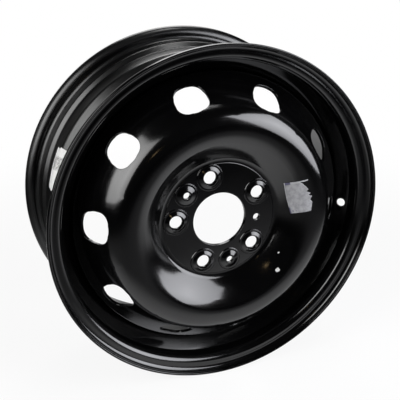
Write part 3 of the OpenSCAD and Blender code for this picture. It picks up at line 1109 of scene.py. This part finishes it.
def coined_edge_group():
    """Height of the plate's coined edge, which runs out around the bosses, and of the bosses' feet."""
    group, given, result = new_group("coined_edge", [
        ("Vector", "Vector"), ("Plate Radius", "Float"), ("Bolt Ring", "Float"), ("Clock Angle", "Float"),
        ("Half Step", "Float"), ("Boss Foot", "Float"), ("Pin Foot", "Float"), ("First Pin", "Vector"),
        ("Second Pin", "Vector"), ("Edge Width", "Float")], ["Height"])
    split = add_node(group, "ShaderNodeSeparateXYZ", {0: given["Vector"]})
    flat = add_node(group, "ShaderNodeCombineXYZ", {
        "X": split.outputs["X"], "Z": split.outputs["Z"]}).outputs[0]
    radius = moved(group, "LENGTH", flat).outputs["Value"]
    turn = calculated(group, "ARCTAN2", split.outputs["Z"], split.outputs["X"])
    turn = calculated(group, "SUBTRACT", turn, given["Clock Angle"])
    aside = calculated(group, "PINGPONG", turn, given["Half Step"])
    past = calculated(group, "MULTIPLY", radius, calculated(group, "COSINE", aside))
    past = calculated(group, "SUBTRACT", past, given["Bolt Ring"])
    across = calculated(group, "MULTIPLY", radius, calculated(group, "SINE", aside))
    off = add_node(group, "ShaderNodeCombineXYZ", {"X": past, "Y": across}).outputs[0]
    boss = calculated(group, "SUBTRACT", moved(group, "LENGTH", off).outputs["Value"], given["Boss Foot"])
    for pin in ("First Pin", "Second Pin"):
        gap = moved(group, "DISTANCE", flat, given[pin]).outputs["Value"]
        boss = calculated(group, "MINIMUM", boss, calculated(group, "SUBTRACT", gap, given["Pin Foot"]))
    outer = calculated(group, "MINIMUM", boss, calculated(group, "SUBTRACT", radius, given["Plate Radius"]))
    height = 0.0
    for edge, part in ((outer, 1.0), (boss, BOSS_COINING)):
        depth = calculated(group, "DIVIDE", edge, given["Edge Width"])
        height = calculated(group, "ADD", height, ranged(group, depth, -1.0, 0.0, part, 0.0))
    group.links.new(height, result["Height"])
    return group


SPECK_GRAIN = 1.1
SPECK_SOFTNESS = 0.06


def speck_group():
    """A small spot with a ragged edge at a place on the object."""
    group, given, result = new_group(
        "speck", [("Vector", "Vector"), ("Place", "Vector"), ("Size", "Float")], ["Mask"])
    away = moved(group, "SUBTRACT", given["Vector"], given["Place"]).outputs[0]
    scale = calculated(group, "DIVIDE", SPECK_GRAIN, given["Size"])
    noise = add_node(group, "ShaderNodeTexNoise", {"Vector": away, "Scale": scale, "Detail": 2.0})
    far = moved(group, "LENGTH", away).outputs["Value"]
    reach_share = calculated(group, "DIVIDE", far, given["Size"])
    ragged = calculated(group, "SUBTRACT", noise.outputs[0], reach_share)
    group.links.new(ranged(group, ragged, -SPECK_SOFTNESS, SPECK_SOFTNESS), result["Mask"])
    return group


def paper_fibre_group():
    """The soft grain of paper and the cloudiness of its colour."""
    group, given, result = new_group(
        "paper_fibre", [("Vector", "Vector"), ("Fibre Size", "Float")], ["Height", "Tone"])
    for stretch, detail, output in ((1.0, 4.0, "Height"), (0.12, 3.0, "Tone")):
        scale = calculated(group, "DIVIDE", stretch, given["Fibre Size"])
        noise = add_node(group, "ShaderNodeTexNoise", {
            "Vector": given["Vector"], "Scale": scale, "Detail": detail, "Roughness": 0.6})
        group.links.new(noise.outputs[0], result[output])
    return group


def placed_group(tree, make, inputs):
    """A shader group in a material, made the first time it is asked for."""
    name = make.__name__.removesuffix("_group")
    group = bpy.data.node_groups.get(name) or make()
    return add_node(tree, "ShaderNodeGroup", inputs, node_tree=group).outputs


def new_material(name, ior, **inputs):
    """An opaque material with plain values, its tree and its shader."""
    material = bpy.data.materials.new(name)
    material.use_nodes = True
    shader = material.node_tree.nodes["Principled BSDF"]
    shader.inputs["IOR"].default_value = ior
    for label, value in inputs.items():
        shader.inputs[label.replace("_", " ")].default_value = value
    return material, material.node_tree, shader


PAINT_IOR = 1.6
PAINT_WAVE = 5 * MM
PAINT_HAZE = 45 * MM
WAVE_DEPTH = 0.012 * MM
LINE_WIDTH = 1.6 * MM
DULL_FADE = 8 * MM
COINED_DEPTH = 0.45 * MM
COINED_WIDTH = 0.9 * MM
COINED_SEAT_FOOT = 17.4 * MM
COINED_PIN_FOOT = 15 * MM
HAZE_RANGE = (0.35, 0.7)
HAZE_ROUGHNESS = 0.05
FLECK_ROUGHNESS = 0.7
FACING_RANGE = (0.0, 0.4)
# How strongly the rolled lines show through the paint
RIM_LINES = 0.9
DISC_LINES = 0.25
WELD_LINES = 0.0


def tyre_side_mask(tree, place, start, fade):
    """Mask of the faces that look away from the spin axis, from a place on it inboard."""
    normal = add_node(tree, "ShaderNodeTexCoord").outputs["Normal"]
    split = add_node(tree, "ShaderNodeSeparateXYZ", {0: place})
    flat = add_node(tree, "ShaderNodeCombineXYZ", {"X": split.outputs["X"], "Z": split.outputs["Z"]})
    outward = moved(tree, "NORMALIZE", flat.outputs[0]).outputs[0]
    facing = moved(tree, "DOT_PRODUCT", normal, outward).outputs["Value"]
    inboard = ranged(tree, split.outputs["Y"], start, start + fade)
    return calculated(tree, "MULTIPLY", ranged(tree, facing, *FACING_RANGE), inboard)


def paint_material(name, finish, line_share, flecks=(), edges=None, dull_from=None):
    """Gloss black dip paint: waves, rolled lines that show through, haze, pale flecks and coined edges.
    Past dull_from on the spin axis, the tyre side is duller."""
    material, tree, shader = new_material(name, PAINT_IOR)
    place = add_node(tree, "ShaderNodeTexCoord").outputs["Object"]
    skin = placed_group(tree, paint_skin_group, {
        "Vector": place, "Wave Size": PAINT_WAVE, "Haze Size": PAINT_HAZE})
    lines = placed_group(tree, rolled_lines_group, {"Vector": place, "Line Width": LINE_WIDTH})
    height = calculated(tree, "MULTIPLY_ADD", lines["Height"], line_share, skin["Height"])
    bump = add_node(tree, "ShaderNodeBump", {"Strength": 1.0, "Distance": WAVE_DEPTH, "Height": height})
    if edges:
        coined = placed_group(tree, coined_edge_group, {"Vector": place, **edges})["Height"]
        bump = add_node(tree, "ShaderNodeBump", {
            "Strength": 1.0, "Distance": COINED_DEPTH, "Height": coined, "Normal": bump.outputs[0]})
    clean = finish.paint_roughness
    roughness = ranged(tree, skin["Haze"], *HAZE_RANGE, clean, clean + HAZE_ROUGHNESS)
    if dull_from is not None:
        mask = tyre_side_mask(tree, place, dull_from, DULL_FADE)
        roughness = calculated(tree, "MULTIPLY_ADD", mask, finish.barrel_dullness, roughness)
    base = opaque(finish.paint)
    for spot, size in flecks:
        mask = placed_group(tree, speck_group, {"Vector": place, "Place": spot, "Size": size})["Mask"]
        base = mixed(tree, mask, base, opaque(finish.fleck))
        dull = calculated(tree, "MULTIPLY", mask, FLECK_ROUGHNESS)
        roughness = calculated(tree, "MAXIMUM", roughness, dull)
    if flecks:
        tree.links.new(base, shader.inputs["Base Color"])
    else:
        shader.inputs["Base Color"].default_value = base
    tree.links.new(roughness, shader.inputs["Roughness"])
    tree.links.new(bump.outputs[0], shader.inputs["Normal"])
    return material


def coined_edges(disc):
    """Inputs of the coined edge for a disc: its plate, the feet of its bosses and its two pin bosses."""
    ring = disc.bolt_circle / 2
    half_step = math.pi / disc.bolt_count
    turns = [disc.clock_angle + place * half_step for place in pin_places(disc)]
    first, second = [(ring * math.cos(turn), 0.0, ring * math.sin(turn)) for turn in turns]
    return {
        "Plate Radius": disc.plate_diameter / 2 - COINED_WIDTH,
        "Bolt Ring": ring,
        "Clock Angle": disc.clock_angle,
        "Half Step": half_step,
        "Boss Foot": COINED_SEAT_FOOT,
        "Pin Foot": COINED_PIN_FOOT,
        "First Pin": first,
        "Second Pin": second,
        "Edge Width": COINED_WIDTH,
    }


# Place and size of each fleck
DISC_FLECKS = (((0.0754, -0.0262, -0.0745), 5.2 * MM), ((0.0791, -0.0192, -0.0533), 2.2 * MM))
# Block of print: across from, across to, along from, along to, strength
BARREL_PRINT = (0.1, 0.94, 0.2, 0.52, 0.95)
# Length, row height and gap of the dashes, in millimetres
PRINT_DASH = (2.6, 1.8, 0.15)
PRINT_SHIFT = 0.37
# Marks: across from, across to, along from, along to, strength, and whether the mark is pale
BOWL_MARKS = (
    (0.0, 0.03, -0.1, 1.1, 0.6, True), (-0.1, 1.1, 0.945, 1.1, 0.6, True),
    (0.04, 0.24, 0.93, 1.1, 0.85, False), (-0.1, 0.04, -0.1, 0.19, 0.85, False),
    (0.1, 0.14, 0.04, 0.1, 0.7, False), (0.22, 0.25, 0.05, 0.09, 0.6, False),
)


MARK_SOFTNESS = 0.012
MARK_RAGGEDNESS = 0.05


def inside(tree, value, low, high):
    """Mask of where a value lies between two others, with soft ends."""
    rise = ranged(tree, value, low - MARK_SOFTNESS, low + MARK_SOFTNESS)
    fall = ranged(tree, value, high - MARK_SOFTNESS, high + MARK_SOFTNESS, 1.0, 0.0)
    return calculated(tree, "MULTIPLY", rise, fall)


def printed(tree, across, along, block, size):
    """Mask of a block of print on a label of a size: rows of short dashes, some stronger than others."""
    left, right, lower, upper, strength = block
    wide = inside(tree, across, left, right)
    tall = inside(tree, along, lower, upper)
    place = add_node(tree, "ShaderNodeCombineXYZ", {
        "X": calculated(tree, "MULTIPLY", along, size[0] / MM),
        "Y": calculated(tree, "MULTIPLY", across, size[1] / MM)})
    dash, row, gap = PRINT_DASH
    dashes = add_node(tree, "ShaderNodeTexBrick", {
        "Vector": place.outputs[0], "Scale": 1.0,
        "Color1": (1, 1, 1, 1), "Color2": (0.3, 0.3, 0.3, 1), "Mortar": (0, 0, 0, 1),
        "Mortar Size": gap, "Brick Width": dash, "Row Height": row}, offset=PRINT_SHIFT)
    mask = calculated(tree, "MULTIPLY", calculated(tree, "MULTIPLY", wide, tall), strength)
    return calculated(tree, "MULTIPLY", mask, dashes.outputs["Color"])


PAPER_IOR = 1.45
PAPER_ROUGHNESS = 0.62
TONE_RANGE = (0.3, 0.7)
GRAIN_STRENGTH = 0.6
GRAIN_DEPTH = 0.03 * MM
WHITE_FIBRE = 0.5 * MM
GREY_FIBRE = 0.6 * MM
# Lightest and darkest tone of each paper, as shares of its colour
WHITE_TONES = (1.0, 0.93)
GREY_TONES = (1.15, 0.8)
PALE_MARK = 1.45


def paper_material(name, shade, tones, fibre, marks=(), block=None, ink=None, size=None):
    """Matt paper with cloudy colour, soft grain and worn marks, and a block of print where one is given.
    marks holds (across from, across to, along from, along to, strength, colour) in shares of the label."""
    material, tree, shader = new_material(name, PAPER_IOR, Roughness=PAPER_ROUGHNESS)
    places = add_node(tree, "ShaderNodeTexCoord")
    grain = placed_group(tree, paper_fibre_group, {"Vector": places.outputs["Object"], "Fibre Size": fibre})
    tone = ranged(tree, grain["Tone"], *TONE_RANGE)
    light, dark = tones
    low = opaque([dark * part for part in shade])
    high = opaque([min(1.0, light * part) for part in shade])
    colour_now = mixed(tree, tone, low, high)
    label = add_node(tree, "ShaderNodeUVMap", uv_map=LABEL_UV)
    split = add_node(tree, "ShaderNodeSeparateXYZ", {0: label.outputs[0]})
    ragged = calculated(tree, "MULTIPLY_ADD", grain["Height"], MARK_RAGGEDNESS, -MARK_RAGGEDNESS / 2)
    across = calculated(tree, "ADD", split.outputs["X"], ragged)
    along = calculated(tree, "ADD", split.outputs["Y"], ragged)
    for left, right, lower, upper, strength, mark in marks:
        wide = inside(tree, across, left, right)
        tall = inside(tree, along, lower, upper)
        mask = calculated(tree, "MULTIPLY", wide, tall)
        mask = calculated(tree, "MULTIPLY", mask, strength)
        colour_now = mixed(tree, mask, colour_now, opaque(mark))
    if block:
        colour_now = mixed(tree, printed(tree, across, along, block, size), colour_now, opaque(ink))
    tree.links.new(colour_now, shader.inputs["Base Color"])
    bump = add_node(tree, "ShaderNodeBump", {
        "Strength": GRAIN_STRENGTH, "Distance": GRAIN_DEPTH, "Height": grain["Height"]})
    tree.links.new(bump.outputs[0], shader.inputs["Normal"])
    return material


# Stage

FLOOR_REACH = 9.0
FLOOR_SIDES = 96
GLOW_START = 0.3
GLOW_END = 1.2
# Distances from the wheel over which the painted shade outside the pool grows darker
PAINTED_SHADE_FADE = (0.5, 0.9)
# Sides of the painted pool of light: direction, and where along it the pool starts and is full
PAINTED_POOL_EDGES = (
    ((0.35, 0.94, 0.0), -0.34, -0.12),
    ((0.998, -0.07, 0.0), -0.5, -0.25),
    ((-0.8, 0.6, 0.0), -0.6, -0.22),
)


def floor_material(look):
    """Plain pale floor that keeps the wheel's shadow, with a painted pool of light around the wheel: inside
    it the floor shows a painted white glow in gloss, and outside it the floor's colour is painted darker
    for every ray but the camera's.
    """
    material = bpy.data.materials.new("pale_floor")
    material.use_nodes = True
    tree = material.node_tree
    tree.nodes.clear()
    rays = add_node(tree, "ShaderNodeLightPath").outputs
    seen = rays["Is Camera Ray"]
    in_gloss = calculated(tree, "MAXIMUM", rays["Is Glossy Ray"], rays["Is Transmission Ray"])
    place = add_node(tree, "ShaderNodeTexCoord").outputs["Object"]
    # Painted pool of light: a mask fixed on the floor, marking where the floor's colour and glow are
    # painted lit
    pool = 1.0
    for way, dim, painted_lit in PAINTED_POOL_EDGES:
        side = moved(tree, "DOT_PRODUCT", place, way).outputs["Value"]
        pool = calculated(tree, "MULTIPLY", pool, ranged(tree, side, dim, painted_lit))
    far = moved(tree, "LENGTH", place).outputs["Value"]
    fade = ranged(tree, far, GLOW_START, GLOW_END, look.floor_glow, 1.0)
    plain = calculated(tree, "MULTIPLY", seen, fade)
    # Painted glow: inside the pool the floor shows white to gloss rays, though no lamp lights it
    in_painted_pool = calculated(tree, "MULTIPLY", in_gloss, calculated(tree, "MULTIPLY", pool, look.pool_glow))
    # Painted shade: outside the pool, every ray but the camera's sees the floor in the darker edge colours
    painted_lit = calculated(tree, "MAXIMUM", pool, seen)
    edge = mixed(tree, ranged(tree, far, *PAINTED_SHADE_FADE), opaque(look.floor_edge), opaque(look.floor_far))
    matt = add_node(tree, "ShaderNodeBsdfDiffuse", {"Color": mixed(tree, painted_lit, edge, opaque(look.floor))})
    white = add_node(tree, "ShaderNodeEmission", {"Color": (1, 1, 1, 1), "Strength": 1.0})
    glow = calculated(tree, "MAXIMUM", plain, in_painted_pool)
    mix = add_node(tree, "ShaderNodeMixShader", {0: glow, 1: matt.outputs[0], 2: white.outputs[0]})
    add_node(tree, "ShaderNodeOutputMaterial", {"Surface": mix.outputs[0]})
    return material


def add_floor(look, height):
    """A round floor, wide enough for every view."""
    form = bmesh.new()
    bmesh.ops.create_circle(form, cap_ends=True, segments=FLOOR_SIDES, radius=FLOOR_REACH)
    for vert in form.verts:
        vert.co.z += height
    mesh = bpy.data.meshes.new("floor")
    form.to_mesh(mesh)
    form.free()
    mesh.materials.append(floor_material(look))
    floor = bpy.data.objects.new("floor", mesh)
    bpy.context.scene.collection.objects.link(floor)


WHITE_LIGHT = (1.0, 1.0, 1.0)
COOL_LIGHT = (0.94, 0.95, 1.0)
WARM_LIGHT = (1.0, 0.72, 0.38)
# Name, turn, rise, distance, size, spread, share of the full radiance, colour
LAMPS = (
    ("right_softbox", 52, 19, 1.3, (1.05, 1.15), 110, 1.02, COOL_LIGHT),
    ("left_softbox", -69, 27, 1.25, (0.96, 1.1), 100, 0.8, WHITE_LIGHT),
    ("top_softbox", 100, 80, 1.4, (0.32, 0.25), 50, 1.5, WHITE_LIGHT),
    ("back_softbox", 165, 40, 1.6, (0.9, 0.9), 70, 0.6, WHITE_LIGHT),
    ("warm_bulb", -22, 24, 0.86, (0.04, 0.04), 60, 0.75, WARM_LIGHT),
)


def add_lamp(name, turn, rise, distance, size, spread, share_of, shade, radiance):
    """A soft lamp that faces the wheel; turn is its angle from the front towards +X, rise its angle up.
    Its beam is spread degrees wide and fades from its middle outwards."""
    lamp = bpy.data.lights.new(name, "AREA")
    lamp.shape = "RECTANGLE"
    lamp.color = shade
    lamp.size, lamp.size_y = size
    lamp.spread = math.radians(spread)
    slope = math.tan(lamp.spread / 2)
    lamp.energy = share_of * radiance * math.pi * size[0] * size[1] * (1 - lamp.spread / 2 / slope)
    turn = math.radians(turn)
    rise = math.radians(rise)
    way = Vector((math.sin(turn) * math.cos(rise), -math.cos(turn) * math.cos(rise), math.sin(rise)))
    holder = bpy.data.objects.new(name, lamp)
    holder.location = distance * way
    holder.rotation_euler = way.to_track_quat("Z", "Y").to_euler()
    holder.visible_camera = False
    bpy.context.scene.collection.objects.link(holder)


# Height in the room where its pale side ends
PALE_HEIGHT = (0.3, 0.5)
# Dark sides of the room: direction, and where towards it the paleness ends and is gone
DARK_SIDES = (
    ((-0.31, -0.95, 0.0), 0.62, 0.74),
    ((0.98, 0.17, 0.0), 0.66, 0.78),
    ((-0.6, 0.8, 0.0), 0.88, 0.95),
)


def add_world(look):
    """A dark room with a white backdrop, whose far side shows pale in gloss."""
    world = bpy.data.worlds.new("room")
    world.use_nodes = True
    tree = world.node_tree
    tree.nodes.clear()
    rays = add_node(tree, "ShaderNodeLightPath").outputs
    in_gloss = calculated(tree, "MAXIMUM", rays["Is Glossy Ray"], rays["Is Transmission Ray"])
    way = add_node(tree, "ShaderNodeTexCoord").outputs["Generated"]
    split = add_node(tree, "ShaderNodeSeparateXYZ", {0: way})
    low = ranged(tree, split.outputs["Z"], *PALE_HEIGHT, 1.0, 0.0)
    shown = calculated(tree, "MULTIPLY", in_gloss, low)
    for side, pale, dark in DARK_SIDES:
        toward = moved(tree, "DOT_PRODUCT", way, side).outputs["Value"]
        shown = calculated(tree, "MULTIPLY", shown, ranged(tree, toward, pale, dark, 1.0, 0.0))
    strength = calculated(tree, "MULTIPLY_ADD", shown, look.room_paleness, look.room_light)
    strength = calculated(tree, "MAXIMUM", strength, rays["Is Camera Ray"])
    ground = add_node(tree, "ShaderNodeBackground", {"Color": (1, 1, 1, 1), "Strength": strength})
    add_node(tree, "ShaderNodeOutputWorld", {"Surface": ground.outputs[0]})
    bpy.context.scene.world = world


SENSOR_WIDTH = 36.0
CAMERA_SHIFT = (0.0253, 0.0525)


def add_camera(look):
    """The camera at the photograph's viewing angle."""
    data = bpy.data.cameras.new("camera")
    data.lens = look.focal_length
    data.sensor_width = SENSOR_WIDTH
    data.shift_x, data.shift_y = CAMERA_SHIFT
    camera = bpy.data.objects.new("camera", data)
    camera.location = look.camera_place
    camera.rotation_euler = (look.camera_tilt, 0.0, look.camera_turn)
    bpy.context.scene.collection.objects.link(camera)
    bpy.context.scene.camera = camera


# Operators

def dress(piece, node, material):
    """Gives a finished piece its material, and puts it in its CAD node's place."""
    mesh = piece.data
    mesh.materials.clear()
    mesh.materials.append(material)
    mesh.polygons.foreach_set("material_index", np.zeros(len(mesh.polygons), dtype=np.int32))
    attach(piece, "root")
    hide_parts(node)


class WHEEL_OT_build_rim(bpy.types.Operator):
    """Build the rolled rim with its valve hole"""
    bl_idname = "wheel.build_rim"
    bl_label = "Build Rim"

    def execute(self, context):
        scene = context.scene
        rim = scene.wheel_rim
        outboard = rim.inset - rim.rim_width / 2
        paint = paint_material("rim_paint", scene.wheel_finish, RIM_LINES, dull_from=outboard)
        dress(make_rim(rim), "rim", paint)
        return {"FINISHED"}


class WHEEL_OT_build_disc(bpy.types.Operator):
    """Build the pressed disc with its bolt seats and windows"""
    bl_idname = "wheel.build_disc"
    bl_label = "Build Disc"

    def execute(self, context):
        scene = context.scene
        disc = scene.wheel_disc
        edges = coined_edges(disc)
        paint = paint_material("disc_paint", scene.wheel_finish, DISC_LINES, DISC_FLECKS, edges)
        dress(make_disc(disc, scene.wheel_rim, paint), "disc", paint)
        return {"FINISHED"}


class WHEEL_OT_build_welds(bpy.types.Operator):
    """Build the weld beads between disc and rim"""
    bl_idname = "wheel.build_welds"
    bl_label = "Build Welds"

    def execute(self, context):
        scene = context.scene
        paint = paint_material("weld_paint", scene.wheel_finish, WELD_LINES)
        piece = make_welds(scene.wheel_welds, scene.wheel_disc, scene.wheel_rim, paint)
        dress(piece, "weld_beads", paint)
        return {"FINISHED"}


class WHEEL_OT_build_labels(bpy.types.Operator):
    """Build the white barrel label and the torn grey bowl label"""
    bl_idname = "wheel.build_labels"
    bl_label = "Build Labels"

    def execute(self, context):
        scene = context.scene
        finish = scene.wheel_finish
        sizes = scene.wheel_labels
        white = paper_material(
            "white_paper", finish.white_paper, WHITE_TONES, WHITE_FIBRE, block=BARREL_PRINT,
            ink=finish.print_grey, size=(sizes.barrel_length, sizes.barrel_width))
        light = [PALE_MARK * part for part in finish.grey_paper]
        inks = [(*mark, light if pale else finish.ink) for *mark, pale in BOWL_MARKS]
        grey = paper_material("grey_paper", finish.grey_paper, GREY_TONES, GREY_FIBRE, marks=inks)
        dress(make_barrel_label(sizes, scene.wheel_rim), "rim_label", white)
        dress(make_bowl_label(sizes, scene.wheel_disc, scene.wheel_rim), "disc_label", grey)
        return {"FINISHED"}


class WHEEL_OT_build_stage(bpy.types.Operator):
    """Build the floor, the lamps and the camera"""
    bl_idname = "wheel.build_stage"
    bl_label = "Build Stage"

    def execute(self, context):
        look = context.scene.wheel_stage
        add_floor(look, CAD_BOX[0].z)
        for lamp in LAMPS:
            add_lamp(*lamp, look.lamp_radiance)
        add_world(look)
        add_camera(look)
        context.scene.view_settings.view_transform = "Standard"
        return {"FINISHED"}


class WHEEL_PT_build(bpy.types.Panel):
    """Lists the steps that build the wheel"""
    bl_idname = "WHEEL_PT_build"
    bl_label = "Steel Wheel Rim"
    bl_space_type = "VIEW_3D"
    bl_region_type = "UI"
    bl_category = "Wheel"

    def draw(self, context):
        for step in OPERATORS:
            self.layout.operator(step.bl_idname)
        for name, group in GROUPS.items():
            box = self.layout.box()
            box.label(text=group.__doc__)
            for size in group.__annotations__:
                box.prop(getattr(context.scene, name), size)


GROUPS = {
    "wheel_rim": RimSizes,
    "wheel_disc": DiscSizes,
    "wheel_welds": WeldSizes,
    "wheel_labels": LabelSizes,
    "wheel_finish": Finish,
    "wheel_stage": StageLook,
}
OPERATORS = (
    WHEEL_OT_build_rim,
    WHEEL_OT_build_disc,
    WHEEL_OT_build_welds,
    WHEEL_OT_build_labels,
    WHEEL_OT_build_stage,
)


def register():
    for item in (*GROUPS.values(), *OPERATORS, WHEEL_PT_build):
        bpy.utils.register_class(item)
    for name, group in GROUPS.items():
        setattr(bpy.types.Scene, name, PointerProperty(type=group))


def unregister():
    for name in GROUPS:
        delattr(bpy.types.Scene, name)
    for item in (WHEEL_PT_build, *OPERATORS, *GROUPS.values()):
        bpy.utils.unregister_class(item)


def main():
    register()
    for step in ("build_rim", "build_disc", "build_welds", "build_labels", "build_stage"):
        getattr(bpy.ops.wheel, step)()


if __name__ == "__main__":
    main()
